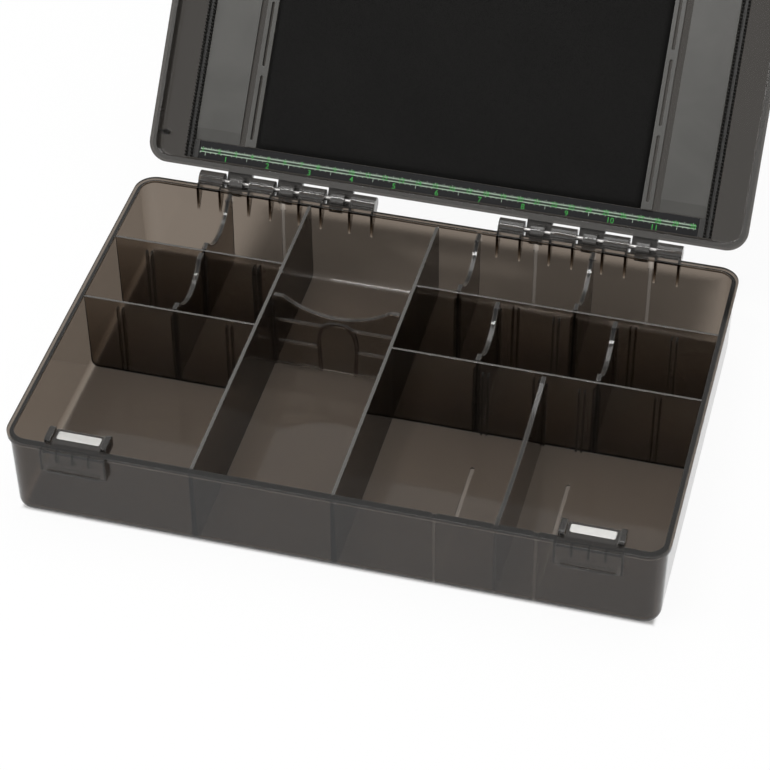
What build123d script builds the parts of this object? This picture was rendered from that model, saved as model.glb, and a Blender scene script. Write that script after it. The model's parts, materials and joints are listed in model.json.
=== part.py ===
from build123d import *

import os
from math import asin, atan, cos, degrees, radians, sin

# A clear smoky tackle box: one moulded tray with fixed walls and lift-out dividers, and a shallow
# lid on two pinned hinges, held shut by bar magnets at the front.
# Millimetres. +X is right, +Y is back to the hinges, +Z is up. The origin is the middle of the underside.
# The lid is built shut and turned open about the hinge pins, so the parts stand as in the photograph.

# Case
case_width = 353.0
case_depth = 232.0
corner_radius = 12.0
tray_height = 53.5
wall = 2.4
floor = 2.0
wall_lean = 1.0
underside_radius = 6.0
flange_reach = 1.4
flange_height = 2.5

# Fixed walls of the tray, from the outline of the case and from each other, by the middle of each
left_column = 103.1
centre_column = 75.8
rear_row = 56.8
middle_row = 53.8
wall_drop = 0.9
long_wall_top = 1.9
cross_wall_top = 1.3
wall_foot = 3.2

# Slots for the dividers, from the wall beside them, by the middle of each: sunk into the front and back
# walls, and between two ribs on the others
left_slot_first = 16.1
left_slot_pitch = 31.5
left_slot_count = 3
right_slot_pitch = 33.0
right_slot_count = 4
rear_slot_first = 24.6
middle_slot_first = 48.1
front_slot_near = 53.6
front_slot_middle = 85.6
front_slot_far = 106.6
centre_slot_forward = 25.8
rib_width = 1.1
rib_depth = 1.4
rib_drop = 6.0
slot_sink = 0.9
mouth_width = 3.2
mouth_sink = 0.5

# Shallow grooves in the floor of the front right bay
groove_width = 2.2
groove_depth = 0.8
groove_start = 30.0
groove_end = 12.0

# Dividers
divider = 1.6
slot_play = 0.15
end_play = 0.3
seat_play = 0.1
tab_length = 5.5
scoop_depth = 10.5
long_scoop_depth = 4.0
divider_drop = 0.4
bead_width = 2.6
bead_height = 1.7
lift_relief = 1.3
lift_line = 1.2
lift_width = 24.0
lift_height = 39.0
lift_band = 2.0
lift_shoulder = 0.54
lift_foot = 0.9
lift_from_wall = 38.5
ledge_heights = (35.3, 19.9, 3.4)

# Hinges
pin_radius = 1.5
pin_behind = 6.1
pin_below = 0.7
knuckle_pitch = 30.4
knuckle_from_side = 41.7
tray_knuckles = 4
knuckle_width = 14.6
lid_knuckle_width = 7.8
knuckle_radius = 4.8
lid_knuckle_radius = 4.3
pin_fixed_play = 0.02
pin_running_play = 0.06
pin_cap = 1.4
pin_sink = 0.6
gusset = 1.4
gusset_top = 1.0
gusset_foot = 35.0
arm_height = 5.4
arm_play = 0.6
arm_past_pin = 4.2
arm_over_pin = 2.4
arm_round = 1.4
heel_radius = 7.0
heel_spread = 26.0
heel_gap = 0.2
lid_open = 131.0

# Magnet catches
catch_from_side = 40.0
magnet_length = 23.7
magnet_depth = 5.6
magnet_height = 3.0
magnet_play = 0.1
magnet_proud = 0.15
magnet_round = 1.1
magnet_inset = 4.0
seat_side = 1.6
seat_height = 5.0
seat_lip = 1.6
ear = 3.2
ear_gap = 0.3
ear_height = 2.4
ear_round = 1.6
apron_width = 36.0
apron_height = 15.0
apron_reach = 2.0
apron_skin = 1.2
apron_rib = 1.4
apron_lip_width = 29.0
apron_lip_reach = 0.6
apron_lip_height = 1.1
apron_ribs = 3
apron_rib_pitch = 8.8
apron_rib_foot = 7.2
lip_reach = 2.6
lip_round = 1.3

# Lid
lid_height = 10.0
lid_skin = 2.0
lid_lean = 0.6
lid_radius = 3.0
lid_inside_radius = 1.0
closed_gap = 0.05

# Fittings inside the lid. Places run from the flat of the lid, just inside its hinge wall.
fitting_gap = 0.3
ruler_depth = 10.4
ruler_thickness = 1.2
foam_thickness = 3.0
lining_stop = 19.4
keeper_width = 6.4
keeper_thickness = 3.4
keeper_slot_width = 1.8
keeper_slot_length = 38.0
keeper_slot_pitch = 43.4
keeper_slots = 4
keeper_slot_start = 4.2
channel_width = 4.0
panel_width = 26.6
panel_thickness = 2.2
panel_bevel = 7.0
panel_edge = 0.7
comb_width = 4.6
comb_base = 1.4
comb_height = 4.6
comb_row = 1.3
comb_from_side = 20.8
comb_foot = 3.2
ruler_to_comb = 3.5
tooth_pitch = 2.0
post_radius = 1.7
post_bore = 0.8
post_height = 4.5
post_from_side = 4.0
post_from_hinge = 17.6
post_arm = 1.2

# How far one feature runs into the next, so that they join
bury = 1.0

# What follows from the sizes above
half_width = case_width / 2
half_depth = case_depth / 2
left_wall_x = left_column - half_width
right_wall_x = left_wall_x + centre_column
rear_wall_y = half_depth - rear_row
middle_wall_y = rear_wall_y - middle_row
left_slots = [left_wall_x - left_slot_first - i * left_slot_pitch for i in range(left_slot_count)]
left_rear_slots = left_slots[:-1]
right_rear_slots = [right_wall_x + rear_slot_first + i * right_slot_pitch for i in range(right_slot_count)]
right_middle_slots = [x + middle_slot_first - rear_slot_first for x in right_rear_slots]
right_front_slots = [right_wall_x + near for near in (front_slot_near, front_slot_middle, front_slot_far)]
centre_slot_y = rear_wall_y - centre_slot_forward
catch_x = half_width - catch_from_side
knuckle_inner_x = half_width - knuckle_from_side - (tray_knuckles - 1) * knuckle_pitch
wall_height = tray_height - wall_drop
rib_top = wall_height - rib_drop
pin_y = half_depth + pin_behind
pin_z = tray_height - pin_below
shut_z = tray_height + closed_gap
lid_inside_z = shut_z + lid_height - lid_skin
half_foot = wall_foot / 2
slot_gap = divider + 2 * slot_play
face_offset = flange_reach + wall
foot_offset = face_offset + wall_lean * (tray_height - floor) / tray_height
inside_y = half_depth - foot_offset
lid_flat_y = half_depth - face_offset - lid_lean - lid_inside_radius
lining_start = ruler_depth + fitting_gap
lining_length = lid_flat_y - lining_start + half_depth - lining_stop
comb_inner_x = half_width - comb_from_side - comb_width
panel_inner_x = comb_inner_x - fitting_gap - panel_width
foam_half_width = panel_inner_x - channel_width - keeper_width - fitting_gap
ruler_half_width = comb_inner_x - ruler_to_comb


def block(x0, x1, y0, y1, z0, z1):
    """A box between two corners."""
    return Pos((x0 + x1) / 2, (y0 + y1) / 2, (z0 + z1) / 2) * Box(abs(x1 - x0), abs(y1 - y0), abs(z1 - z0))


def prism_x(points, x0, x1):
    """An outline of (y, z) points, drawn out along X."""
    return extrude(Plane.YZ.offset(x0) * Polygon(*points, align=None), amount=x1 - x0, dir=(1, 0, 0))


def prism_y(points, y0, y1):
    """An outline of (x, z) points, drawn out along Y."""
    return extrude(Plane.XZ.offset(-y0) * Polygon(*points, align=None), amount=y1 - y0, dir=(0, 1, 0))


def rod_x(radius, x0, x1, y, z):
    """A round bar along X."""
    return Pos((x0 + x1) / 2, y, z) * Rot(0, 90, 0) * Cylinder(radius, x1 - x0)


def tapered(inset, z0, z1, lean, radius):
    """A block inside the case outline that narrows by the lean from z1 to z0, with its z0 edges rounded."""
    height = z1 - z0
    outline = RectangleRounded(
        case_width - 2 * (inset + lean), case_depth - 2 * (inset + lean), corner_radius - inset - lean
    )
    shape = extrude(outline, amount=abs(height), taper=-degrees(atan(lean / abs(height))))
    shape = fillet(shape.faces().sort_by(Axis.Z)[0].edges(), radius)
    if height < 0:
        shape = mirror(shape, Plane.XY)
    return Pos(0, 0, z0) * shape


def flange(z0, z1):
    """The lip that runs round the case outline."""
    return Pos(0, 0, z0) * extrude(RectangleRounded(case_width, case_depth, corner_radius), amount=z1 - z0)


def cross_wall(x0, x1, y):
    """A fixed wall along X, thicker at its foot."""
    return prism_x(
        [
            (y - half_foot, floor / 2),
            (y + half_foot, floor / 2),
            (y + cross_wall_top / 2, wall_height),
            (y - cross_wall_top / 2, wall_height),
        ],
        x0,
        x1,
    )


def long_wall(x):
    """A fixed wall along Y, from the front of the tray to the back."""
    return prism_y(
        [
            (x - half_foot, floor / 2),
            (x + half_foot, floor / 2),
            (x + long_wall_top / 2, wall_height),
            (x - long_wall_top / 2, wall_height),
        ],
        -half_depth,
        half_depth,
    )


def slot_ribs(middles, face_y, side):
    """Two upright ribs each side of every slot, standing on the face of a wall along X."""
    ribs = []
    for x in middles:
        for hand in (-1, 1):
            near = x + hand * slot_gap / 2
            far = near + hand * rib_width
            back = face_y - side * half_foot
            ribs.append(block(near, far, back, face_y + side * rib_depth, floor / 2, rib_top))
    return ribs


def centre_slot_ribs():
    """The ribs that hold the centre divider between the two long walls."""
    ribs = []
    for wall_x, side in ((left_wall_x, 1), (right_wall_x, -1)):
        for hand in (-1, 1):
            near = centre_slot_y + hand * slot_gap / 2
            reach = wall_x + side * (half_foot + rib_depth)
            ribs.append(block(wall_x, reach, near, near + hand * rib_width, floor / 2, rib_top))
    return ribs


def tray_insides():
    """The fixed walls and every slot, cut off at the outside of the tray."""
    parts = [long_wall(left_wall_x), long_wall(right_wall_x)]
    for y in (rear_wall_y, middle_wall_y):
        parts.append(cross_wall(-half_width, left_wall_x, y))
        parts.append(cross_wall(right_wall_x, half_width, y))
    middle_slots = left_slots + right_middle_slots
    parts += slot_ribs(left_rear_slots + right_rear_slots, rear_wall_y + half_foot, 1)
    parts += slot_ribs(middle_slots, rear_wall_y - half_foot, -1)
    parts += slot_ribs(middle_slots, middle_wall_y + half_foot, 1)
    parts += slot_ribs(right_front_slots, middle_wall_y - half_foot, -1)
    parts += centre_slot_ribs()
    return parts


def wall_slots():
    """The slots sunk into the front and back walls, each as deep all the way up and wider at its mouth."""
    places = [(x, 1) for x in left_rear_slots + right_rear_slots]
    places += [(x, -1) for x in right_front_slots]
    foot = inside_y + slot_sink
    mouth = half_depth - face_offset + mouth_sink
    cuts = []
    for x, side in places:
        near = side * (inside_y - underside_radius)
        outline = [
            (near, floor),
            (side * foot, floor),
            (side * (foot + wall_lean), floor + tray_height),
            (near, floor + tray_height),
        ]
        cuts.append(prism_x(outline, x - slot_gap / 2, x + slot_gap / 2))
        half = mouth_width / 2
        cuts.append(block(x - half, x + half, near, side * mouth, rib_top, tray_height + bury))
    return cuts


def floor_grooves():
    """Two shallow grooves along the floor, in line with the outer slots of the front right bay."""
    y0 = -inside_y + groove_end
    y1 = middle_wall_y - groove_start
    grooves = []
    for x in (right_front_slots[0], right_front_slots[-1]):
        half = groove_width / 2
        grooves.append(block(x - half, x + half, y0, y1, floor - groove_depth, floor + bury))
        grooves.append(Pos(x, y1, floor - groove_depth / 2) * Cylinder(half, groove_depth))
    return grooves


def tray_knuckle_middles(side):
    """The middle of each hinge knuckle of the tray on one side, from the innermost outwards."""
    return [side * (knuckle_inner_x + i * knuckle_pitch) for i in range(tray_knuckles)]


def lid_knuckle_middles(side):
    """The middle of each hinge knuckle of the lid, halfway between two of the tray's."""
    return [side * (knuckle_inner_x + (i + 0.5) * knuckle_pitch) for i in range(tray_knuckles - 1)]


def pin_ends(side):
    """The inner and outer X of a hinge pin, which is pushed in from the outer end of its row of knuckles."""
    inner = knuckle_inner_x - knuckle_width / 2 + pin_cap
    outer = knuckle_inner_x + (tray_knuckles - 1) * knuckle_pitch + knuckle_width / 2 - pin_sink
    return side * inner, side * outer


def tray_hinge(side):
    """The tray's knuckles, each on a web at the flange and two tapering gussets on the back wall."""
    wall_face = half_depth - flange_reach
    parts = []
    for x in tray_knuckle_middles(side):
        x0 = x - knuckle_width / 2
        x1 = x + knuckle_width / 2
        parts.append(rod_x(knuckle_radius, x0, x1, pin_y, pin_z))
        web_foot = tray_height - flange_height
        parts.append(block(x0, x1, wall_face - wall / 2, pin_y, web_foot, tray_height))
        outline = [
            (wall_face - wall / 2, web_foot + gusset_top),
            (pin_y + knuckle_radius / 2, web_foot + gusset_top),
            (pin_y, pin_z - knuckle_radius - gusset_top),
            (wall_face - wall / 2, gusset_foot),
        ]
        parts.append(prism_x(outline, x0, x0 + gusset))
        parts.append(prism_x(outline, x1 - gusset, x1))
    return parts


def pin_bore(side, play):
    """The hole for a hinge pin, closed at the inner end and open at the outer one."""
    inner, outer = pin_ends(side)
    x0, x1 = sorted((inner - side * end_play, outer + side * 2 * pin_sink))
    return rod_x(pin_radius + play, x0, x1, pin_y, pin_z)


def magnet_y():
    """The middle of the magnets, just behind the front wall."""
    return -half_depth + face_offset + magnet_inset + magnet_play + magnet_depth / 2


def magnet_seat(side, z0, z1):
    """The solid block behind the front wall that a magnet is let into."""
    half = magnet_length / 2 + seat_side
    back = magnet_y() + magnet_depth / 2 + magnet_play + seat_lip
    front = -half_depth + flange_reach + wall / 2
    return block(side * catch_x - half, side * catch_x + half, front, back, z0, z1)


def magnet_pocket(side, z0, z1):
    """The space that a magnet fills, with its play."""
    half = magnet_length / 2 + magnet_play
    reach = magnet_depth / 2 + magnet_play
    middle = magnet_y()
    return block(side * catch_x - half, side * catch_x + half, middle - reach, middle + reach, z0, z1)


def magnet(side, z0):
    """A plated bar magnet."""
    half = magnet_length / 2
    reach = magnet_depth / 2
    middle = magnet_y()
    bar = block(
        side * catch_x - half, side * catch_x + half, middle - reach, middle + reach, z0, z0 + magnet_height
    )
    return fillet(bar.edges().filter_by(Axis.Z), magnet_round)


def tray_catch(side):
    """The magnet's seat with a guide ear at each end, and the ribbed apron below the flange in front."""
    x = side * catch_x
    parts = [magnet_seat(side, tray_height - seat_height, tray_height)]
    front = -half_depth + flange_reach + wall / 2
    back = magnet_y() + magnet_depth / 2 + seat_lip
    ear_inside = magnet_length / 2 + seat_side + ear_gap
    for hand in (-1, 1):
        near = x + hand * ear_inside
        upright = block(near, near + hand * ear, front, back, tray_height - seat_height, tray_height)
        tab_front = -half_depth + face_offset + fitting_gap
        tab = block(near, near + hand * ear, tab_front, back, tray_height - bury, tray_height + ear_height)
        tab = fillet(tab.edges().filter_by(Axis.X).group_by(Axis.Z)[-1], ear_round)
        parts += [upright, tab]
    skin = -half_depth - apron_reach
    rear = -half_depth + flange_reach + wall / 2
    z0 = tray_height - apron_height
    half = apron_width / 2
    parts.append(block(x - half, x + half, skin, skin + apron_skin, z0, tray_height))
    parts.append(block(x - half, x + half, skin, rear, tray_height - flange_height, tray_height))
    parts.append(block(x - half, x - half + apron_skin, skin, rear, z0, tray_height))
    parts.append(block(x + half - apron_skin, x + half, skin, rear, z0, tray_height))
    lip_half = apron_lip_width / 2
    parts.append(block(x - lip_half, x + lip_half, skin - apron_lip_reach, rear, z0, z0 + apron_lip_height))
    for i in range(apron_ribs):
        middle = x + (i - (apron_ribs - 1) / 2) * apron_rib_pitch
        under = tray_height - bury
        rib = [(skin, under), (rear, under), (rear, z0 + apron_rib_foot - wall), (skin, z0 + apron_rib_foot)]
        parts.append(prism_x(rib, middle - apron_rib / 2, middle + apron_rib / 2))
    return parts


def make_tray():
    """The base: an open moulded tray with its walls, slots, hinge knuckles and magnet seats."""
    outside = tapered(flange_reach, 0, tray_height, wall_lean, underside_radius)
    foot_lean = foot_offset - face_offset
    cavity = tapered(face_offset, floor, tray_height, foot_lean, underside_radius - floor)
    tray = outside + flange(tray_height - flange_height, tray_height) - cavity
    inner = Part() + tray_insides()
    tray = tray + (inner & outside)
    for side in (-1, 1):
        tray = tray + tray_hinge(side) + tray_catch(side)
    for side in (-1, 1):
        tray = tray - pin_bore(side, pin_fixed_play)
        pocket_foot = tray_height + magnet_proud - magnet_height
        tray = tray - magnet_pocket(side, pocket_foot, tray_height + magnet_height)
    return tray - wall_slots() - floor_grooves()


def lid_knuckle(x):
    """A hinge knuckle of the lid, under its wide arm, with the heel that stops the lid when open."""
    x0 = x - lid_knuckle_width / 2
    x1 = x + lid_knuckle_width / 2
    barrel = rod_x(lid_knuckle_radius, x0, x1, pin_y, pin_z)
    arm_half = (knuckle_pitch - knuckle_width) / 2 - arm_play
    wall_middle = half_depth - flange_reach - wall / 2
    arm = block(x - arm_half, x + arm_half, wall_middle, half_depth, shut_z, shut_z + arm_height)
    cover_foot = pin_z + arm_over_pin
    cover_back = pin_y + arm_past_pin
    cover = block(x - arm_half, x + arm_half, wall_middle, cover_back, cover_foot, shut_z + arm_height)
    cover = fillet(cover.edges().filter_by(Axis.X).sort_by(Axis.Y)[-2:], arm_round)
    below_pin = degrees(asin((flange_height - pin_below + heel_gap) / heel_radius))
    outline = [(pin_y, pin_z)]
    for turn in (0, heel_spread):
        angle = radians(180 + below_pin + lid_open + turn)
        outline.append((pin_y + heel_radius * cos(angle), pin_z + heel_radius * sin(angle)))
    stop = prism_x(outline, x0, x1)
    return barrel + arm + cover + stop


def lid_post():
    """The small hollow post in the left side of the lid, on an arm from the side wall."""
    x = -half_width + face_offset + post_from_side
    y = half_depth - post_from_hinge
    post = Pos(x, y, lid_inside_z - post_height / 2) * Cylinder(post_radius, post_height)
    arm = block(
        -half_width + flange_reach + wall / 2, x, y - post_arm / 2, y + post_arm / 2,
        lid_inside_z - post_height, lid_inside_z,
    )
    return post + arm - Pos(x, y, lid_inside_z - post_height / 2 - bury) * Cylinder(post_bore, post_height)


def lid_lip(side):
    """The thumb lip on the front of the lid, over a catch."""
    half = apron_width / 2
    x = side * catch_x
    front = -half_depth - lip_reach
    back = -half_depth + flange_reach + wall / 2
    lip = block(x - half, x + half, front, back, shut_z, shut_z + flange_height)
    return fillet(lip.edges().filter_by(Axis.Z).sort_by(Axis.Y)[:2], lip_round)


def shut_lid():
    """The lid shell, shut on the tray."""
    top = shut_z + lid_height
    inset = flange_reach
    outside = tapered(inset, top, shut_z, lid_lean, lid_radius)
    skin_lean = lid_lean * (lid_height - lid_skin) / lid_height
    cavity = tapered(face_offset, lid_inside_z, shut_z, skin_lean, lid_inside_radius)
    lid = outside + flange(shut_z, shut_z + flange_height) - cavity
    for side in (-1, 1):
        seat = magnet_seat(side, shut_z, lid_inside_z + lid_skin / 2)
        pocket = magnet_pocket(side, shut_z - bury, shut_z + magnet_proud + magnet_height + 2 * seat_play)
        lid = lid + seat - pocket + lid_lip(side)
        lid = lid + [lid_knuckle(x) for x in lid_knuckle_middles(side)]
        lid = lid - pin_bore(side, pin_running_play)
    return lid + lid_post()


def turn_open(shape):
    """Turn a piece of the shut lid back about the hinge pins, to where the lid rests open."""
    return shape.rotate(Axis((0, pin_y, pin_z), (1, 0, 0)), -lid_open)


def make_lid():
    """The lid shell, open."""
    return turn_open(shut_lid())


def lid_fitting(x0, x1, start, length, thickness):
    """A flat piece on the inside of the shut lid, by its distance from the lid's hinge side."""
    y1 = lid_flat_y - start
    return block(x0, x1, y1 - length, y1, lid_inside_z - thickness, lid_inside_z)


def make_ruler():
    """The flat strip that carries the ruler."""
    strip = lid_fitting(-ruler_half_width, ruler_half_width, 0, ruler_depth, ruler_thickness)
    return turn_open(strip)


def make_foam():
    """The black foam sheet in the middle of the lid."""
    sheet = lid_fitting(-foam_half_width, foam_half_width, lining_start, lining_length, foam_thickness)
    return turn_open(sheet)


def make_keeper(side):
    """The slotted strip that holds down one edge of the foam."""
    near = side * (foam_half_width + fitting_gap)
    far = near + side * keeper_width
    strip = lid_fitting(near, far, lining_start, lining_length, keeper_thickness)
    first = lid_flat_y - lining_start - keeper_slot_start - keeper_slot_length / 2
    for i in range(keeper_slots):
        slot = SlotOverall(keeper_slot_length, keeper_slot_width, rotation=90)
        cut = extrude(slot, amount=keeper_thickness * 2, both=True)
        strip = strip - Pos((near + far) / 2, first - i * keeper_slot_pitch, lid_inside_z) * cut
    return turn_open(strip)


def make_side_panel(side):
    """The flat panel between the keeper and the comb, bevelled at the hinge end."""
    y1 = lid_flat_y - lining_start
    y0 = y1 - lining_length
    low = lid_inside_z - panel_thickness
    outline = [
        (y1, lid_inside_z),
        (y1, lid_inside_z - panel_edge),
        (y1 - panel_bevel, low),
        (y0, low),
        (y0, lid_inside_z),
    ]
    x0, x1 = sorted((side * panel_inner_x, side * (panel_inner_x + panel_width)))
    return turn_open(prism_x(outline, x0, x1))


def make_comb(side):
    """The comb that holds line: a strip with two rows of fine teeth and a foot beside the ruler."""
    y1 = lid_flat_y
    top = lid_inside_z - comb_base
    outline = [(y1, lid_inside_z), (y1, top)]
    for i in range(int((lining_start + lining_length) / tooth_pitch)):
        y = y1 - i * tooth_pitch
        outline.append((y - tooth_pitch / 2, lid_inside_z - comb_height))
        outline.append((y - tooth_pitch, top))
    outline.append((outline[-1][0], lid_inside_z))
    x0, x1 = sorted((side * comb_inner_x, side * (comb_inner_x + comb_width)))
    strip = block(x0, x1, outline[-1][0], y1, top, lid_inside_z)
    foot_start = side * (comb_inner_x - comb_foot)
    foot_end = side * (comb_inner_x + bury)
    foot = block(foot_start, foot_end, y1 - ruler_depth, y1, top, lid_inside_z)
    rows = [prism_x(outline, x0, x0 + comb_row), prism_x(outline, x1 - comb_row, x1)]
    return turn_open(strip + foot + rows)


def make_pin(side):
    """A plain steel hinge pin."""
    x0, x1 = sorted(pin_ends(side))
    return rod_x(pin_radius, x0, x1, pin_y, pin_z)


def make_tray_magnet(side):
    """The magnet in the tray, a hair above its seat's edge."""
    return magnet(side, tray_height + magnet_proud - magnet_height)


def make_lid_magnet(side):
    """The magnet in the lid, a hair inside its seat's edge."""
    return turn_open(magnet(side, shut_z + magnet_proud + seat_play))


def scooped_sheet(start, end, scoop, outer):
    """A divider's outline on a plane of (length, height), with a flat tab at each end of a hollow top.

    outer holds -1 or 1 for an end that stands in an outer wall's slot, and such an end leans with the wall.
    """
    foot = floor + seat_play
    top = wall_height - divider_drop
    lean = wall_lean * (top - foot) / tray_height
    top_start = start - lean if -1 in outer else start
    top_end = end + lean if 1 in outer else end
    rim = [
        Line((end, foot), (top_end, top)),
        Line((top_end, top), (end - tab_length, top)),
        ThreePointArc((end - tab_length, top), ((start + end) / 2, top - scoop), (start + tab_length, top)),
        Line((start + tab_length, top), (top_start, top)),
        Line((top_start, top), (start, foot)),
        Line((start, foot), (end, foot)),
    ]
    return make_face(Curve() + rim)


def top_bead(plane, sheet, start, end):
    """The thicker band along the top of a divider, on the plane through the middle of its sheet."""
    band = sheet - Pos(0, -bead_height, 0) * sheet
    clear = Pos((start + end) / 2, wall_height, 0) * Rectangle(end - start, wall_height)
    return extrude(plane * (band & clear), amount=bead_width / 2, both=True)


def make_divider(x, start, end, scoop, outer):
    """A lift-out divider along Y. A corner that stands at the tray's rounded floor edge is rounded too."""
    middle = Plane.YZ.offset(x)
    sheet = scooped_sheet(start, end, scoop, outer)
    plate = extrude(middle * sheet, amount=divider / 2, both=True)
    for hand in outer:
        edges = plate.edges().filter_by(Axis.X).group_by(Axis.Z)[0].sort_by(Axis.Y)
        plate = fillet(edges[-1] if hand > 0 else edges[0], underside_radius - floor + end_play)
    return plate + top_bead(middle, sheet, start, end)


def arch(width, height):
    """A thumb-shaped outline that stands on the X axis."""
    half = width / 2
    foot = half * lift_foot
    shoulder = height * lift_shoulder
    rim = [
        Line((foot, 0), (half, shoulder)),
        Spline((half, shoulder), (0, height), (-half, shoulder), tangents=((0, 1), (0, -1))),
        Line((-half, shoulder), (-foot, 0)),
        Line((-foot, 0), (foot, 0)),
    ]
    return make_face(Curve() + rim)


def make_centre_divider():
    """The wide divider of the middle column, with a thumb-shaped relief and raised lines on its face."""
    start = left_wall_x + half_foot + end_play
    end = right_wall_x - half_foot - end_play
    middle = Plane.XZ.offset(-centre_slot_y)
    sheet = scooped_sheet(start, end, scoop_depth, ())
    plate = extrude(middle * sheet, amount=divider / 2, both=True) + top_bead(middle, sheet, start, end)
    face_y = centre_slot_y - divider / 2
    thumb_x = left_wall_x + lift_from_wall
    foot = floor + seat_play
    rise = lift_height - foot
    relief_x0 = start + rib_depth + rib_width
    relief_x1 = end - rib_depth - rib_width
    face = Plane.XZ.offset(-face_y) * Pos(thumb_x, foot, 0)
    outer = arch(lift_width, rise)
    inner = arch(lift_width - 2 * lift_band, rise - lift_band)
    for height in ledge_heights:
        line_foot = height - lift_line / 2
        line = block(relief_x0, relief_x1, face_y - lift_relief, face_y, line_foot, line_foot + lift_line)
        plate = plate + (line - extrude(face * outer, amount=lift_relief * 2, both=True))
    return plate + extrude(face * (outer - inner), amount=lift_relief)


def dividers():
    """Every lift-out divider by name."""
    slot_end = inside_y + slot_sink - end_play
    rear = (rear_wall_y + half_foot + end_play, slot_end)
    middle = (middle_wall_y + half_foot + end_play, rear_wall_y - half_foot - end_play)
    front = (-slot_end, middle_wall_y - half_foot - end_play)
    return {
        "divider_left_rear": make_divider(left_slots[1], *rear, scoop_depth, (1,)),
        "divider_left_middle": make_divider(left_slots[1], *middle, scoop_depth, ()),
        "divider_right_rear_inner": make_divider(right_rear_slots[0], *rear, scoop_depth, (1,)),
        "divider_right_rear_outer": make_divider(right_rear_slots[2], *rear, scoop_depth, (1,)),
        "divider_right_middle_inner": make_divider(right_middle_slots[0], *middle, scoop_depth, ()),
        "divider_right_middle_outer": make_divider(right_middle_slots[2], *middle, scoop_depth, ()),
        "divider_right_front": make_divider(right_front_slots[1], *front, long_scoop_depth, (-1,)),
        "divider_centre": make_centre_divider(),
    }


def sided(name, make):
    """A left and a right copy of a piece, by name."""
    return {name + "_left": make(-1), name + "_right": make(1)}


def all_parts():
    """Every piece of the box by name."""
    parts = {"base_tray": make_tray(), "lid_shell": make_lid()}
    parts.update(dividers())
    parts.update(sided("hinge_pin", make_pin))
    parts.update(sided("tray_magnet", make_tray_magnet))
    parts.update(sided("lid_magnet", make_lid_magnet))
    parts["ruler_strip"] = make_ruler()
    parts["foam_liner"] = make_foam()
    parts.update(sided("foam_keeper", make_keeper))
    parts.update(sided("side_panel", make_side_panel))
    parts.update(sided("line_comb", make_comb))
    return parts


os.makedirs("parts", exist_ok=True)
for name, shape in all_parts().items():
    export_step(shape, f"parts/{name}.step")
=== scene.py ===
import json
from math import cos, radians, sin

import bmesh
import bpy
from bpy.props import FloatProperty, FloatVectorProperty, PointerProperty
from mathutils import Matrix, Vector, noise


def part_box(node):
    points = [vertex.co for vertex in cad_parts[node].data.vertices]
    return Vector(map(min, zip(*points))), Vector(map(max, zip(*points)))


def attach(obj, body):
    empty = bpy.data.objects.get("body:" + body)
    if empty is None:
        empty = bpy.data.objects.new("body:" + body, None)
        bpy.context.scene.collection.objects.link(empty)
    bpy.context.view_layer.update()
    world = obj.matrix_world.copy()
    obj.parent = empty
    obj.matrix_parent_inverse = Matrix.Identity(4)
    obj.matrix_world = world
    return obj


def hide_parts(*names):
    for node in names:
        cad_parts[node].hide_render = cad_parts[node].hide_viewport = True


bl_info = {
    "name": "Compartment tackle box",
    "version": (1, 0, 0),
    "blender": (4, 5, 0),
    "location": "View3D > Sidebar > Tackle box",
    "description": "Smoky plastic, foam, ruler marks and metal for the compartment tackle box",
    "category": "Object",
}

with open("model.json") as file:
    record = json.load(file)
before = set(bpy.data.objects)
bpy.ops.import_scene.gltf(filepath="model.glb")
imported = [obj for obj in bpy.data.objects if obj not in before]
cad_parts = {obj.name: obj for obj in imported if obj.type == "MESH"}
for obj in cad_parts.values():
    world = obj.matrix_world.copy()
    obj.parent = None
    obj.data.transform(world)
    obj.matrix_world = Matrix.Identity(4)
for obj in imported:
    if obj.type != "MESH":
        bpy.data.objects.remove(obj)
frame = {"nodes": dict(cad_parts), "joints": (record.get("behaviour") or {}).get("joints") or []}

MAGNETS = [n for n in frame["nodes"] if "_magnet_" in n]
PINS = [n for n in frame["nodes"] if n.startswith("hinge_pin_")]
KEEPERS = ["foam_keeper_left", "foam_keeper_right"]
PANELS = ["side_panel_left", "side_panel_right"]
COMBS = ["line_comb_left", "line_comb_right"]

# The lid's hinge: the pin, and how far the lid is turned back at rest
HINGE = next(j for j in frame["joints"] if j["name"] == "lid_hinge")
PIN = Vector(HINGE["pos_m"])
LID_OPEN = -HINGE["range_deg"][0]
TURN = Matrix.Translation(PIN) @ Matrix.Rotation(radians(-LID_OPEN), 4, "X") @ Matrix.Translation(-PIN)


def shut_box(node):
    """The corners of a lid piece with the lid shut."""
    back = TURN.inverted()
    points = [back @ v.co for v in frame["nodes"][node].data.vertices]
    low = Vector(min(p[i] for p in points) for i in range(3))
    high = Vector(max(p[i] for p in points) for i in range(3))
    return low, high


TRAY_LOW, TRAY_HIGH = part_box("base_tray")
RULER_LOW, RULER_HIGH = shut_box("ruler_strip")

# Levels in metres: the tops of the tray's inner walls, the dividers' beads, and the lid's rim when shut
WALL_TOP_LOW = 0.0500
WALL_TOP_HIGH = 0.0529
BEAD_LOW = 0.0150
LID_RIM_HIGH = 0.0550
LEVEL_SOFT = 0.0003

# How far a hinge knuckle reaches from the pin, and over what width its mask fades
KNUCKLE_REACH = 0.0050
KNUCKLE_SOFT = 0.0020

# How far the moulding round a magnet reaches past it: to the sides, in front and behind, and down its apron
SEAT_SIDE = 0.0050
SEAT_DEEP = 0.0040
APRON_DEEP = 0.0160
SEAT_SOFT = 0.0005


def seat_box(magnet):
    """The corners of the tray's moulding round a magnet."""
    low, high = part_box(magnet)
    below = Vector((SEAT_SIDE, SEAT_DEEP, APRON_DEEP))
    above = Vector((SEAT_SIDE, SEAT_DEEP, SEAT_DEEP))
    return low - below, high + above


def colour_prop(name, about, value):
    return FloatVectorProperty(
        name=name, description=about, subtype="COLOR", size=3, min=0, max=1, default=value
    )


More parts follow.
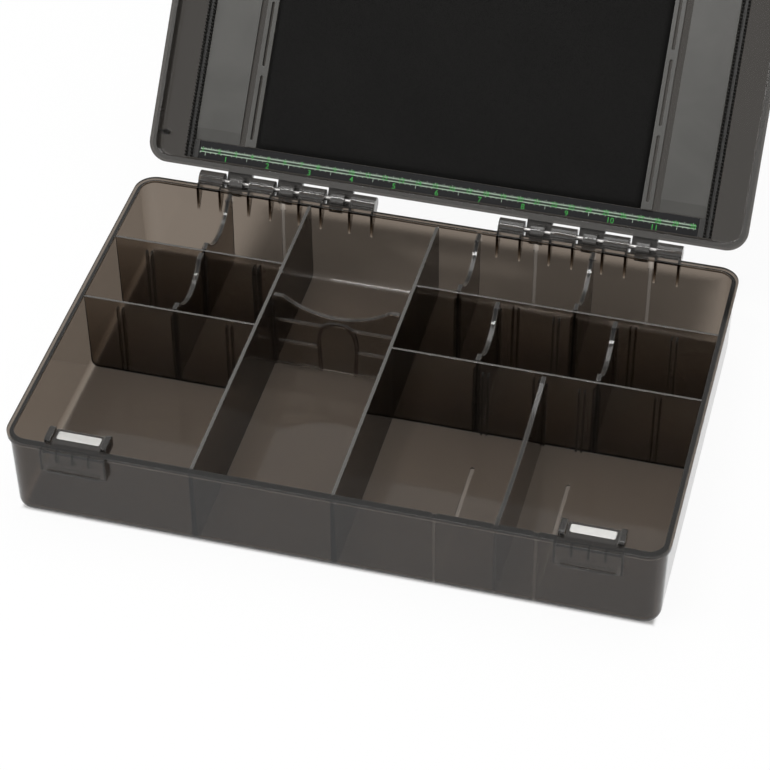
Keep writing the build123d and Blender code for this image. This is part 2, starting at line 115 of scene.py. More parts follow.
def share_prop(name, about, value):
    return FloatProperty(name=name, description=about, subtype="FACTOR", min=0, max=1, default=value)


def length_prop(name, about, value):
    return FloatProperty(
        name=name, description=about, subtype="DISTANCE", unit="LENGTH", precision=5, default=value
    )


def amount_prop(name, about, value):
    return FloatProperty(name=name, description=about, min=0, default=value)


def power_prop(name, about, value):
    return FloatProperty(name=name, description=about, unit="POWER", min=0, default=value)


class PlasticLook(bpy.types.PropertyGroup):
    """The smoky plastic of the tray, the lid and the dividers."""

    smoke: colour_prop(
        "Smoke", "Colour that the tray and the dividers let through", (0.613, 0.566, 0.516)
    )
    lid_smoke: colour_prop("Lid smoke", "Colour that the lid lets through", (0.600, 0.588, 0.574))
    tint: colour_prop("Skin tint", "Tint of the plastic's skin", (0.99, 0.985, 0.98))
    tray_depth: amount_prop("Tray density", "How fast the tray takes light", 1430.0)
    lid_depth: amount_prop("Lid density", "How fast the lid takes light", 3500.0)
    divider_depth: amount_prop("Divider density", "How fast a divider takes light", 1350.0)
    # The shares below lay a pale matt colour on the moulded edges, the inner walls' tops, the rims and the
    # divider beads. It is a painted highlight, lit by the lamps, standing in for the bright lines that these
    # places catch.
    edge_highlight_colour: colour_prop(
        "Edge light", "Colour of a moulded edge, where light gathers", (0.80, 0.765, 0.72)
    )
    edge_highlight: share_prop("Edge share", "How much of an edge scatters light", 0.17)
    top_highlight: share_prop("Top share", "How much of an inner wall's top scatters light", 0.12)
    rim_highlight: share_prop("Rim share", "How much of the tray's rim scatters light", 0.02)
    # Its matt share makes the lid's rim paler: a painted reflection of the bright room.
    lid_rim_reflection: share_prop("Lid rim share", "How much of the lid's rim scatters light", 0.09)
    bead_highlight: share_prop("Bead share", "How much of a divider's top bead scatters light", 0.045)
    # Their matt share makes the hinge knuckles paler: painted light, standing in for the light that comes
    # through them.
    knuckle_light: share_prop("Knuckle share", "How much of a hinge knuckle scatters light", 0.05)
    # Round the magnet seats the matt share is stronger, most of all on the edges. It is a painted highlight,
    # which the lamps shade into light and dark lines on the ribs and lip.
    seat_edge_highlight: share_prop("Seat edge share", "How much of an edge round a magnet seat scatters light", 0.4)
    seat_highlight: share_prop("Seat share", "How much of a magnet seat scatters light", 0.045)
    gloss: share_prop("Roughness", "Roughness of the plastic's skin", 0.07)
    edge_width: length_prop("Edge width", "Width of the soft edge that the mould leaves", 0.00028)


class FittingLook(bpy.types.PropertyGroup):
    """The ruler, the foam and the strips inside the lid."""

    strip: colour_prop("Ruler strip", "Plastic under the ruler's marks", (0.007, 0.0069, 0.0078))
    line: colour_prop("Ruler lines", "The two long lines and the ticks", (0.52, 0.66, 0.52))
    number: colour_prop("Ruler numbers", "The numbers", (0.030, 0.36, 0.045))
    band: colour_prop("Ruler band", "The band between the lines", (0.004, 0.022, 0.005))
    foam: colour_prop("Foam", "The foam sheet", (0.0055, 0.0052, 0.0048))
    panel: colour_prop("Panels", "The flat panels and the slotted strips", (0.070, 0.068, 0.062))
    comb: colour_prop("Combs", "The two combs", (0.024, 0.023, 0.021))
    number_height: length_prop("Number height", "Height of the inch numbers", 0.0032)
    mark_rise: length_prop("Mark height", "How far a printed mark stands off the strip", 0.00005)


class MetalLook(bpy.types.PropertyGroup):
    """The bar magnets and the hinge pins."""

    magnet: colour_prop("Magnets", "Plating of the bar magnets", (0.83, 0.82, 0.79))
    # The pins' colour is kept dark: painted shade, standing in for the dark surroundings that the pins
    # reflect.
    pin: colour_prop("Pins", "Steel of the hinge pins", (0.36, 0.35, 0.34))


class StageLook(bpy.types.PropertyGroup):
    """The floor, the lamps and the background."""

    floor: colour_prop("Floor", "Colour of the floor and the background", (0.96, 0.96, 0.96))
    room: amount_prop("Room light", "Strength of the light from all round", 0.50)
    key: power_prop("Top lamp", "Power of the lamp overhead", 8.0)
    side: power_prop("Side lamp", "Power of the lamp on the left", 5.0)
    front: power_prop("Front lamp", "Power of the lamp in front", 3.8)
    overhead: share_prop("Overhead", "How bright the background is overhead", 0.5)
    under: share_prop(
        "Glow underneath", "Share of the floor under the tray that shows as plain background", 0.15
    )
    behind: share_prop(
        "Glow behind", "Share of the floor under the open lid that shows as plain background", 0.12
    )
    glow: share_prop("Floor glow", "Share of the floor that shows as plain background", 0.94)


def new_material(name):
    """An empty node material and its output."""
    material = bpy.data.materials.new(name)
    material.use_nodes = True
    tree = material.node_tree
    tree.nodes.clear()
    return material, tree, tree.nodes.new("ShaderNodeOutputMaterial")


def node(tree, kind, **values):
    """A node of that kind, with values for its settings or, where it has no such setting, its inputs."""
    made = tree.nodes.new(kind)
    for key, value in values.items():
        if hasattr(made, key):
            setattr(made, key, value)
        else:
            made.inputs[key.replace("_", " ")].default_value = value
    return made


def group_sockets(tree, inputs, outputs):
    """Named sockets for a node group. An input is (name, kind, default) and an output is (name, kind)."""
    for name, kind, default in inputs:
        tree.interface.new_socket(name=name, in_out="INPUT", socket_type=kind).default_value = default
    for name, kind in outputs:
        tree.interface.new_socket(name=name, in_out="OUTPUT", socket_type=kind)


def math_node(tree, operation, a, b):
    """A Math node, each of whose two inputs is a socket or a number."""
    made = tree.nodes.new("ShaderNodeMath")
    made.operation = operation
    for socket, value in zip(made.inputs, (a, b)):
        if isinstance(value, bpy.types.NodeSocket):
            tree.links.new(value, socket)
        else:
            socket.default_value = value
    return made.outputs[0]


def span(tree, value, low, high, to_low=0.0, to_high=1.0):
    """A value spread from one range to another, smoothly and within its ends."""
    made = node(tree, "ShaderNodeMapRange", interpolation_type="SMOOTHSTEP")
    tree.links.new(value, made.inputs["Value"])
    for name, number in (("From Min", low), ("From Max", high), ("To Min", to_low), ("To Max", to_high)):
        made.inputs[name].default_value = number
    return made.outputs[0]


def mixed(tree, factor, a, b):
    """A mix of two colours, each a socket or a plain colour."""
    made = node(tree, "ShaderNodeMix", data_type="RGBA")
    tree.links.new(factor, made.inputs["Factor"])
    for socket, value in ((made.inputs[6], a), (made.inputs[7], b)):
        if isinstance(value, bpy.types.NodeSocket):
            tree.links.new(value, socket)
        else:
            socket.default_value = (*value, 1)
    return made.outputs[2]


def moulded_skin():
    """Node group: the soft edge, faint flow marks and fine grain of a moulded surface."""
    name = "Moulded skin"
    if name in bpy.data.node_groups:
        return bpy.data.node_groups[name]
    tree = bpy.data.node_groups.new(name, "ShaderNodeTree")
    group_sockets(
        tree,
        [
            ("Edge Width", "NodeSocketFloat", 0.0004),
            ("Grain Scale", "NodeSocketFloat", 900.0),
            ("Grain Depth", "NodeSocketFloat", 0.00002),
            ("Flow Scale", "NodeSocketFloat", 9.0),
        ],
        [
            ("Edge", "NodeSocketFloat"),
            ("Flow", "NodeSocketFloat"),
            ("Normal", "NodeSocketVector"),
        ],
    )
    given = tree.nodes.new("NodeGroupInput")
    out = tree.nodes.new("NodeGroupOutput")
    place = node(tree, "ShaderNodeTexCoord").outputs["Object"]
    facing = node(tree, "ShaderNodeNewGeometry").outputs["Normal"]
    soft = node(tree, "ShaderNodeBevel", samples=6)
    tree.links.new(given.outputs["Edge Width"], soft.inputs["Radius"])
    turn = node(tree, "ShaderNodeVectorMath", operation="DOT_PRODUCT")
    tree.links.new(soft.outputs[0], turn.inputs[0])
    tree.links.new(facing, turn.inputs[1])
    tree.links.new(span(tree, turn.outputs["Value"], 0.995, 0.86), out.inputs["Edge"])
    flow = node(tree, "ShaderNodeTexNoise", Detail=3.0, Roughness=0.55, Distortion=0.6)
    tree.links.new(place, flow.inputs["Vector"])
    tree.links.new(given.outputs["Flow Scale"], flow.inputs["Scale"])
    tree.links.new(flow.outputs["Fac"], out.inputs["Flow"])
    grain = node(tree, "ShaderNodeTexNoise", Detail=2.0)
    tree.links.new(place, grain.inputs["Vector"])
    tree.links.new(given.outputs["Grain Scale"], grain.inputs["Scale"])
    bump = node(tree, "ShaderNodeBump", Strength=0.35)
    tree.links.new(given.outputs["Grain Depth"], bump.inputs["Distance"])
    tree.links.new(grain.outputs["Fac"], bump.inputs["Height"])
    tree.links.new(soft.outputs[0], bump.inputs["Normal"])
    tree.links.new(bump.outputs[0], out.inputs["Normal"])
    return tree


def skin(tree, **values):
    """The moulded skin group, placed in a material with its own values."""
    made = node(tree, "ShaderNodeGroup", node_tree=moulded_skin())
    for key, value in values.items():
        made.inputs[key.replace("_", " ")].default_value = value
    return made


def moulded_places():
    """Node group: masks for wall ends between two levels, for ends above both, and for the hinge."""
    name = "Moulded places"
    if name in bpy.data.node_groups:
        return bpy.data.node_groups[name]
    tree = bpy.data.node_groups.new(name, "ShaderNodeTree")
    group_sockets(
        tree,
        [
            ("Toward", "NodeSocketVector", (0.0, 0.0, 1.0)),
            ("Low", "NodeSocketFloat", 0.0),
            ("High", "NodeSocketFloat", 1.0),
        ],
        [("Top", "NodeSocketFloat"), ("Rim", "NodeSocketFloat"), ("Knuckle", "NodeSocketFloat")],
    )
    given = tree.nodes.new("NodeGroupInput")
    out = tree.nodes.new("NodeGroupOutput")
    coordinates = node(tree, "ShaderNodeTexCoord")
    dots = []
    for source in ("Normal", "Object"):
        dot = node(tree, "ShaderNodeVectorMath", operation="DOT_PRODUCT")
        tree.links.new(coordinates.outputs[source], dot.inputs[0])
        tree.links.new(given.outputs["Toward"], dot.inputs[1])
        dots.append(dot.outputs["Value"])
    facing = span(tree, dots[0], 0.55, 0.9)
    above_low = span(tree, math_node(tree, "SUBTRACT", dots[1], given.outputs["Low"]), 0, LEVEL_SOFT)
    above_high = span(tree, math_node(tree, "SUBTRACT", dots[1], given.outputs["High"]), 0, LEVEL_SOFT)
    between = math_node(tree, "SUBTRACT", above_low, above_high)
    tree.links.new(math_node(tree, "MULTIPLY", facing, between), out.inputs["Top"])
    tree.links.new(math_node(tree, "MULTIPLY", facing, above_high), out.inputs["Rim"])
    apart = node(tree, "ShaderNodeVectorMath", operation="SUBTRACT")
    tree.links.new(coordinates.outputs["Object"], apart.inputs[0])
    apart.inputs[1].default_value = PIN
    across = node(tree, "ShaderNodeVectorMath", operation="MULTIPLY")
    tree.links.new(apart.outputs[0], across.inputs[0])
    across.inputs[1].default_value = (0, 1, 1)
    reach = node(tree, "ShaderNodeVectorMath", operation="LENGTH")
    tree.links.new(across.outputs[0], reach.inputs[0])
    near = span(tree, reach.outputs["Value"], KNUCKLE_REACH, KNUCKLE_REACH + KNUCKLE_SOFT, 1, 0)
    tree.links.new(near, out.inputs["Knuckle"])
    return tree


def inside(tree, low, high, soft):
    """One in a box given along one axis or more, and nought round it, with a soft edge."""
    place = node(tree, "ShaderNodeSeparateXYZ")
    tree.links.new(node(tree, "ShaderNodeTexCoord").outputs["Object"], place.inputs[0])
    share = 1
    for axis in range(len(soft)):
        middle = (low[axis] + high[axis]) / 2
        half = (high[axis] - low[axis]) / 2
        apart = math_node(tree, "ABSOLUTE", math_node(tree, "SUBTRACT", place.outputs[axis], middle), 0)
        share = math_node(tree, "MINIMUM", span(tree, apart, half - soft[axis], half, 1, 0), share)
    return share


def smoke_plastic(name, smoke, density, toward, low, high, top_highlight, rim_highlight, seats=()):
    """Clear plastic that takes light by its depth, with a pale matt share on its edges, wall tops, rims,
    beads, knuckles and magnet seats: a painted highlight, lit by the lamps.
    """
    look = bpy.context.scene.box_plastic
    material, tree, out = new_material(name)
    made = skin(tree, Edge_Width=look.edge_width, Grain_Scale=420.0, Grain_Depth=0.0000015)
    plastic = node(tree, "ShaderNodeBsdfPrincipled", IOR=1.49)
    plastic.inputs["Transmission Weight"].default_value = 1.0
    tint = mixed(tree, span(tree, made.outputs["Flow"], 0.3, 0.7), [c * 0.96 for c in look.tint], look.tint)
    rough = span(tree, made.outputs["Flow"], 0.2, 0.8, look.gloss * 0.8, look.gloss * 1.3)
    tree.links.new(rough, plastic.inputs["Roughness"])
    tree.links.new(made.outputs["Normal"], plastic.inputs["Normal"])
    edge = node(tree, "ShaderNodeBsdfPrincipled", Roughness=0.5)
    edge.inputs["Specular IOR Level"].default_value = 0.0
    tree.links.new(made.outputs["Normal"], edge.inputs["Normal"])
    places = node(tree, "ShaderNodeGroup", node_tree=moulded_places())
    for key, value in (("Toward", toward), ("Low", low), ("High", high)):
        places.inputs[key].default_value = value
    # The matt share is a painted highlight: it lays the pale edge colour on edges, wall tops, rims, beads and
    # knuckles.
    share = math_node(tree, "MULTIPLY", made.outputs["Edge"], look.edge_highlight)
    for mask, part in (("Top", top_highlight), ("Rim", rim_highlight), ("Knuckle", look.knuckle_light)):
        share = math_node(tree, "MAXIMUM", share, math_node(tree, "MULTIPLY", places.outputs[mask], part))
    # Round each magnet seat the painted highlight is stronger, most of all on the edges of its ribs and lip.
    for corner, far_corner in seats:
        seat = inside(tree, corner, far_corner, (SEAT_SOFT, SEAT_SOFT, SEAT_SOFT))
        lit = span(tree, made.outputs["Edge"], 0, 1, look.seat_highlight, look.seat_edge_highlight)
        share = math_node(tree, "MAXIMUM", share, math_node(tree, "MULTIPLY", seat, lit))
    tree.links.new(mixed(tree, share, tint, (0, 0, 0)), plastic.inputs["Base Color"])
    # The pale edge colour, times the share, is the colour of the painted highlight.
    tree.links.new(mixed(tree, share, (0, 0, 0), look.edge_highlight_colour), edge.inputs["Base Color"])
    both = node(tree, "ShaderNodeAddShader")
    tree.links.new(plastic.outputs[0], both.inputs[0])
    tree.links.new(edge.outputs[0], both.inputs[1])
    tree.links.new(both.outputs[0], out.inputs["Surface"])
    depth = node(tree, "ShaderNodeVolumeAbsorption", Color=(*smoke, 1), Density=density)
    tree.links.new(depth.outputs[0], out.inputs["Volume"])
    return material


def solid_plastic(name, colour, roughness, spread=0.09, ior=1.5):
    """Opaque satin plastic, paler along its edges: rubbed wear and a painted highlight."""
    material, tree, out = new_material(name)
    made = skin(tree, Grain_Scale=1400.0, Grain_Depth=0.00003, Flow_Scale=30.0)
    deep = [c * (1 - spread) for c in colour]
    pale = [min(1, c * (1 + spread)) for c in colour]
    base = mixed(tree, span(tree, made.outputs["Flow"], 0.3, 0.7), deep, pale)
    # Paler along the edges: rubbed wear and a painted highlight.
    rubbed_and_highlit = [min(1, c * 3 + 0.02) for c in colour]
    worn = mixed(tree, math_node(tree, "MULTIPLY", made.outputs["Edge"], 0.35), base, rubbed_and_highlit)
    plastic = node(tree, "ShaderNodeBsdfPrincipled", IOR=ior)
    tree.links.new(worn, plastic.inputs["Base Color"])
    rough = span(tree, made.outputs["Flow"], 0.2, 0.8, roughness * 0.9, roughness * 1.15)
    tree.links.new(rough, plastic.inputs["Roughness"])
    tree.links.new(made.outputs["Normal"], plastic.inputs["Normal"])
    tree.links.new(plastic.outputs[0], out.inputs["Surface"])
    return material


def metal(name, colour, roughness, stretch):
    """Plain metal with fine marks drawn out along X."""
    material, tree, out = new_material(name)
    made = skin(tree, Grain_Scale=2200.0, Grain_Depth=0.00001, Flow_Scale=60.0)
    place = node(tree, "ShaderNodeTexCoord").outputs["Object"]
    drawn = node(tree, "ShaderNodeMapping")
    drawn.inputs["Scale"].default_value = (1 / stretch, 1, 1)
    tree.links.new(place, drawn.inputs["Vector"])
    marks = node(tree, "ShaderNodeTexNoise", Scale=1800.0, Detail=3.0)
    tree.links.new(drawn.outputs[0], marks.inputs["Vector"])
    steel = node(tree, "ShaderNodeBsdfPrincipled", Metallic=1.0)
    tone = mixed(tree, span(tree, made.outputs["Flow"], 0.3, 0.7), [c * 0.9 for c in colour], colour)
    tree.links.new(tone, steel.inputs["Base Color"])
    rough = span(tree, marks.outputs["Fac"], 0.3, 0.7, roughness * 0.75, roughness * 1.3)
    tree.links.new(rough, steel.inputs["Roughness"])
    tree.links.new(made.outputs["Normal"], steel.inputs["Normal"])
    tree.links.new(steel.outputs[0], out.inputs["Surface"])
    return material


def foam_surface(name, colour):
    """Black closed-cell foam, with small open pores on its face, painted darker inside as shade."""
    material, tree, out = new_material(name)
    place = node(tree, "ShaderNodeTexCoord").outputs["Object"]
    cells = node(tree, "ShaderNodeTexVoronoi", Scale=1500.0)
    tree.links.new(place, cells.inputs["Vector"])
    clouds = node(tree, "ShaderNodeTexNoise", Scale=24.0, Detail=4.0)
    tree.links.new(place, clouds.inputs["Vector"])
    pores = span(tree, cells.outputs["Distance"], 0.05, 0.5)
    cloud = span(tree, clouds.outputs["Fac"], 0.35, 0.7)
    worn = mixed(tree, cloud, [c * 0.95 for c in colour], [c * 1.15 for c in colour])
    # The pores are painted darker: painted shade in their hollows.
    base = mixed(tree, pores, [c * 0.4 for c in colour], worn)
    bump = node(tree, "ShaderNodeBump", Strength=0.5, Distance=0.0002)
    tree.links.new(pores, bump.inputs["Height"])
    foam = node(tree, "ShaderNodeBsdfPrincipled", IOR=1.22)
    foam.inputs["Sheen Weight"].default_value = 0.05
    foam.inputs["Sheen Roughness"].default_value = 0.5
    tree.links.new(base, foam.inputs["Base Color"])
    tree.links.new(span(tree, pores, 0.0, 1.0, 0.95, 0.72), foam.inputs["Roughness"])
    tree.links.new(bump.outputs[0], foam.inputs["Normal"])
    tree.links.new(foam.outputs[0], out.inputs["Surface"])
    return material


def printed_ink(name, colour, patchy):
    """Ink printed on plastic, a little thinner here and there."""
    material, tree, out = new_material(name)
    place = node(tree, "ShaderNodeTexCoord").outputs["Object"]
    thin = node(tree, "ShaderNodeTexNoise", Scale=1200.0, Detail=2.0)
    tree.links.new(place, thin.inputs["Vector"])
    base = mixed(tree, span(tree, thin.outputs["Fac"], 0.3, 0.7), [c * (1 - patchy) for c in colour], colour)
    ink = node(tree, "ShaderNodeBsdfPrincipled", Roughness=0.45)
    tree.links.new(base, ink.inputs["Base Color"])
    tree.links.new(span(tree, thin.outputs["Fac"], 0.3, 0.7, 0.38, 0.55), ink.inputs["Roughness"])
    tree.links.new(ink.outputs[0], out.inputs["Surface"])
    return material


def dress(names, material):
    """Gives CAD nodes a material."""
    for name in names:
        mesh = frame["nodes"][name].data
        mesh.materials.clear()
        mesh.materials.append(material)


def add_piece(name, mesh, material, body=""):
    """Puts a new mesh in the scene, with its material and, where one is given, its body."""
    piece = bpy.data.objects.new(name, mesh)
    bpy.context.scene.collection.objects.link(piece)
    piece.data.materials.clear()
    piece.data.materials.append(material)
    if body:
        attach(piece, body)
    return piece


def lid_place(x, reach, rise):
    """A point in the open lid, along X, by its distance from the pins and its rise off the ruler strip."""
    return TURN @ Vector((x, PIN.y - reach, RULER_LOW.z - rise))


def add_bar(shape, x0, x1, reach0, reach1, low, high):
    """A flat bar on the ruler strip."""
    corners = [
        lid_place(x, reach, rise)
        for rise in (low, high)
        for x, reach in ((x0, reach0), (x1, reach0), (x1, reach1), (x0, reach1))
    ]
    verts = [shape.verts.new(p) for p in corners]
    for ring in ((3, 2, 1, 0), (4, 5, 6, 7), (0, 1, 5, 4), (1, 2, 6, 5), (2, 3, 7, 6), (3, 0, 4, 7)):
        shape.faces.new([verts[i] for i in ring])


def finished_mesh(name, shape):
    """A mesh from a bmesh, with its faces turned outward."""
    bmesh.ops.recalc_face_normals(shape, faces=shape.faces)
    mesh = bpy.data.meshes.new(name)
    shape.to_mesh(mesh)
    shape.free()
    return mesh


# Ruler marks: places along the strip and from the hinge pins, in metres
CM_FIRST = -0.1455
CM = 0.01
CM_COUNT = 30
INCH_ZERO = -0.1565
INCH = 0.0254
INCH_COUNT = 11
LINE_NEAR = 0.0156
LINE_FAR = 0.0173
LINE_WIDTH = 0.00045
CM_NUMBERS = 0.0167
INCH_NUMBERS = 0.0128
CM_NUMBER_SHARE = 0.82
TICK_WIDTH = 0.00025
TICK = 0.0008
HALF_CM_TICK = 0.0013
INCH_EIGHTH_TICK = 0.0009
HALF_INCH_TICK = 0.0022

# Where the printed lines start and end on the strip
LINES_LEFT = RULER_LOW.x + 0.0006
LINES_RIGHT = RULER_HIGH.x - 0.0012


def ruler_numbers(rise, size):
    """One mesh of all the ruler's numbers, which are plain counts of centimetres and inches."""
    shape = bmesh.new()
    rows = [(str(i + 1), CM_FIRST + i * CM, CM_NUMBERS, size * CM_NUMBER_SHARE) for i in range(CM_COUNT)]
    rows += [(str(i + 1), INCH_ZERO + (i + 1) * INCH, INCH_NUMBERS, size) for i in range(INCH_COUNT)]
    for text, x, reach, height in rows:
        curve = bpy.data.curves.new("number", "FONT")
        curve.body = text
        curve.size = height / 0.7
        curve.align_x = "CENTER"
        curve.align_y = "CENTER"
        curve.extrude = rise / 2
        curve.offset = height * 0.012
        curve.resolution_u = 3
        carrier = bpy.data.objects.new("number", curve)
        bpy.context.scene.collection.objects.link(carrier)
        bpy.context.view_layer.update()
        mesh = bpy.data.meshes.new_from_object(carrier)
        flip = Matrix.Rotation(radians(180), 4, "X")
        mesh.transform(TURN @ Matrix.Translation((x, PIN.y - reach, RULER_LOW.z - rise)) @ flip)
        shape.from_mesh(mesh)
        bpy.data.objects.remove(carrier)
        bpy.data.curves.remove(curve)
        bpy.data.meshes.remove(mesh)
    bmesh.ops.remove_doubles(shape, verts=shape.verts, dist=1e-7)
    return finished_mesh("ruler_numbers", shape)


def ruler_lines(rise):
    """The two long lines, the millimetre ticks beyond them and the ticks of an eighth inch before them."""
    shape = bmesh.new()
    for reach in (LINE_NEAR, LINE_FAR):
        low = reach - LINE_WIDTH / 2
        add_bar(shape, LINES_LEFT, LINES_RIGHT, low, low + LINE_WIDTH, 0, rise)
    half = TICK_WIDTH / 2
    for i in range(-2, CM_COUNT * 10 - 7):
        x = CM_FIRST + i * CM / 10
        if not LINES_LEFT < x < LINES_RIGHT:
            continue
        length = HALF_CM_TICK if i % 5 == 0 else TICK
        add_bar(shape, x - half, x + half, LINE_FAR, LINE_FAR + length, 0, rise)
    for i in range(1, INCH_COUNT * 8 + 8):
        x = INCH_ZERO + i * INCH / 8
        if not LINES_LEFT < x < LINES_RIGHT or i % 8 == 0:
            continue
        length = HALF_INCH_TICK if i % 4 == 0 else INCH_EIGHTH_TICK
        add_bar(shape, x - half, x + half, LINE_NEAR - length, LINE_NEAR, 0, rise)
    return finished_mesh("ruler_lines", shape)


def ruler_band(rise):
    """The dark green band between the two long lines."""
    shape = bmesh.new()
    add_bar(shape, LINES_LEFT, LINES_RIGHT, LINE_NEAR, LINE_FAR, 0, rise)
    return finished_mesh("ruler_band", shape)


# The foam's mesh, its soft edge and its unevenness, in metres
FOAM_ACROSS = 60
FOAM_ALONG = 54
FOAM_SOFT = 0.0012
FOAM_EDGE_DROP = 0.0009
FOAM_WAVE = 0.00018
FOAM_WAVES = 22


def foam_sheet():
    """The foam with soft edges and a slightly uneven face, inside its CAD solid."""
    low, high = shut_box("foam_liner")
    across = FOAM_ACROSS
    along = FOAM_ALONG
    shape = bmesh.new()
    rows = []
    for j in range(along + 1):
        row = []
        for i in range(across + 1):
            x = low.x + (high.x - low.x) * i / across
            y = low.y + (high.y - low.y) * j / along
            near_edge = min(x - low.x, high.x - x, y - low.y, high.y - y)
            edge = max(0.0, 1 - near_edge / FOAM_SOFT) ** 2 * FOAM_EDGE_DROP
            wave = FOAM_WAVE * (1 + noise.noise(Vector((x * FOAM_WAVES, y * FOAM_WAVES, 0.3))))
            row.append(shape.verts.new((x, y, low.z + edge + wave)))
        rows.append(row)
    for j in range(along):
        for i in range(across):
            shape.faces.new((rows[j][i], rows[j + 1][i], rows[j + 1][i + 1], rows[j][i + 1]))
    rim = [rows[0][i] for i in range(across + 1)]
    rim += [rows[j][across] for j in range(1, along + 1)]
    rim += [rows[along][i] for i in range(across - 1, -1, -1)]
    rim += [rows[j][0] for j in range(along - 1, 0, -1)]
    under = [shape.verts.new((v.co.x, v.co.y, high.z)) for v in rim]
    for k in range(len(rim)):
        n = (k + 1) % len(rim)
        shape.faces.new((rim[k], rim[n], under[n], under[k]))
    shape.faces.new(under)
    bmesh.ops.transform(shape, matrix=TURN, verts=shape.verts)
    for face in shape.faces:
        face.smooth = True
    return finished_mesh("foam_sheet", shape)


class DressPlastic(bpy.types.Operator):
    """Give the tray, the lid and the dividers their smoky plastic"""

    bl_idname = "tackle_box.dress_plastic"
    bl_label = "Smoky plastic"

    def execute(self, context):
        look = context.scene.box_plastic
        up = Vector((0, 0, 1))
        rim = TRAY_HIGH.z
        seats = [seat_box(name) for name in ("tray_magnet_left", "tray_magnet_right")]
        levels = (WALL_TOP_LOW, WALL_TOP_HIGH, look.top_highlight, look.rim_highlight)
        dress(["base_tray"], smoke_plastic("tray_smoke", look.smoke, look.tray_depth, up, *levels, seats))
        levels = (BEAD_LOW, rim, look.bead_highlight, look.bead_highlight)
        dividers = [n for n in frame["nodes"] if n.startswith("divider_")]
        dress(dividers, smoke_plastic("divider_smoke", look.smoke, look.divider_depth, up, *levels))
        under = TURN.to_3x3() @ -up
        level = under.dot(TURN @ Vector((0, 0, LID_RIM_HIGH)))
        levels = (level - 1, level, 0, look.lid_rim_reflection)
        dress(["lid_shell"], smoke_plastic("lid_smoke", look.lid_smoke, look.lid_depth, under, *levels))
        return {"FINISHED"}


class DressMetal(bpy.types.Operator):
    """Give the magnets their plating and the hinge pins their steel"""

    bl_idname = "tackle_box.dress_metal"
    bl_label = "Magnets and pins"

    def execute(self, context):
        look = context.scene.box_metal
        dress(MAGNETS, metal("magnet_plating", look.magnet, 0.38, 6.0))
        # The pins' steel is kept dark as painted shade.
        dress(PINS, metal("pin_steel", look.pin, 0.25, 20.0))
        return {"FINISHED"}


class DressLidFittings(bpy.types.Operator):
    """Give the strips, the panels and the combs in the lid their plastic"""

    bl_idname = "tackle_box.dress_fittings"
    bl_label = "Lid fittings"

    def execute(self, context):
        look = context.scene.box_fittings
        dress(["ruler_strip"], solid_plastic("ruler_strip_plastic", look.strip, 0.42, spread=0.08, ior=1.32))
        satin = solid_plastic("panel_plastic", look.panel, 0.36)
        dress(KEEPERS + PANELS, satin)
        dress(COMBS, solid_plastic("comb_plastic", look.comb, 0.4))
        return {"FINISHED"}


class AddRulerMarks(bpy.types.Operator):
    """Print the ruler's lines, ticks and numbers on its strip"""

    bl_idname = "tackle_box.add_ruler_marks"
    bl_label = "Ruler marks"

    def execute(self, context):
        look = context.scene.box_fittings
        rise = look.mark_rise
        body = "lid"
        add_piece("ruler_band", ruler_band(rise), printed_ink("band_ink", look.band, 0.3), body)
        add_piece("ruler_lines", ruler_lines(rise * 2), printed_ink("line_ink", look.line, 0.3), body)
        numbers = ruler_numbers(rise * 3, look.number_height)
        add_piece("ruler_numbers", numbers, printed_ink("number_ink", look.number, 0.25), body)
        return {"FINISHED"}


class AddFoam(bpy.types.Operator):
    """Lay the foam sheet in the lid"""

    bl_idname = "tackle_box.add_foam"
    bl_label = "Foam sheet"

    def execute(self, context):
        look = context.scene.box_fittings
        surface = foam_surface("black_foam", look.foam)
        foam = add_piece("foam_sheet", foam_sheet(), surface, "lid")
        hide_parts("foam_liner")
        return {"FINISHED"}


# The camera, from the vanishing lines of the box and the ruler's pitch: metres and degrees
CAMERA_PLACE = Vector((0.276313, -1.037128, 1.008392))
CAMERA_YAW = -14.881
CAMERA_DOWN = 42.373
CAMERA_ROLL = -0.351
CAMERA_LENS = 124.38

# The parts of the floor that the tray stands over, and that the open lid keeps in shade behind it
TRAY_FOOT_LOW = (-0.1735, -0.1130)
TRAY_FOOT_HIGH = (0.1735, 0.1130)
FOOT_SOFT = (0.004, 0.004)
SHADE_LOW = (-0.135, 0.0)
SHADE_HIGH = (0.178, 0.177)
SHADE_SOFT = (0.035, 0.014)

# Half the floor's width, and how far it lies below the box, in metres
FLOOR_HALF = 6.0
FLOOR_GAP = 0.0003


def camera_turn():
    """The camera's axes as a matrix, from its yaw, tilt and roll."""
    yaw, down, roll = (radians(v) for v in (CAMERA_YAW, CAMERA_DOWN, CAMERA_ROLL))
    ahead = Vector((sin(yaw) * cos(down), cos(yaw) * cos(down), -sin(down)))
    right = ahead.cross(Vector((0, 0, 1))).normalized()
    under = ahead.cross(right)
    across = right * cos(roll) - under * sin(roll)
    up = -(right * sin(roll) + under * cos(roll))
    return Matrix((across, up, -ahead)).transposed().to_4x4()


def looked_at(tree):
    """One for what the camera sees, straight, mirrored or through plastic, and nought for the rest."""
    path = node(tree, "ShaderNodeLightPath")
    shiny = math_node(tree, "MAXIMUM", path.outputs["Is Camera Ray"], path.outputs["Is Glossy Ray"])
    return math_node(tree, "MAXIMUM", shiny, path.outputs["Is Transmission Ray"])


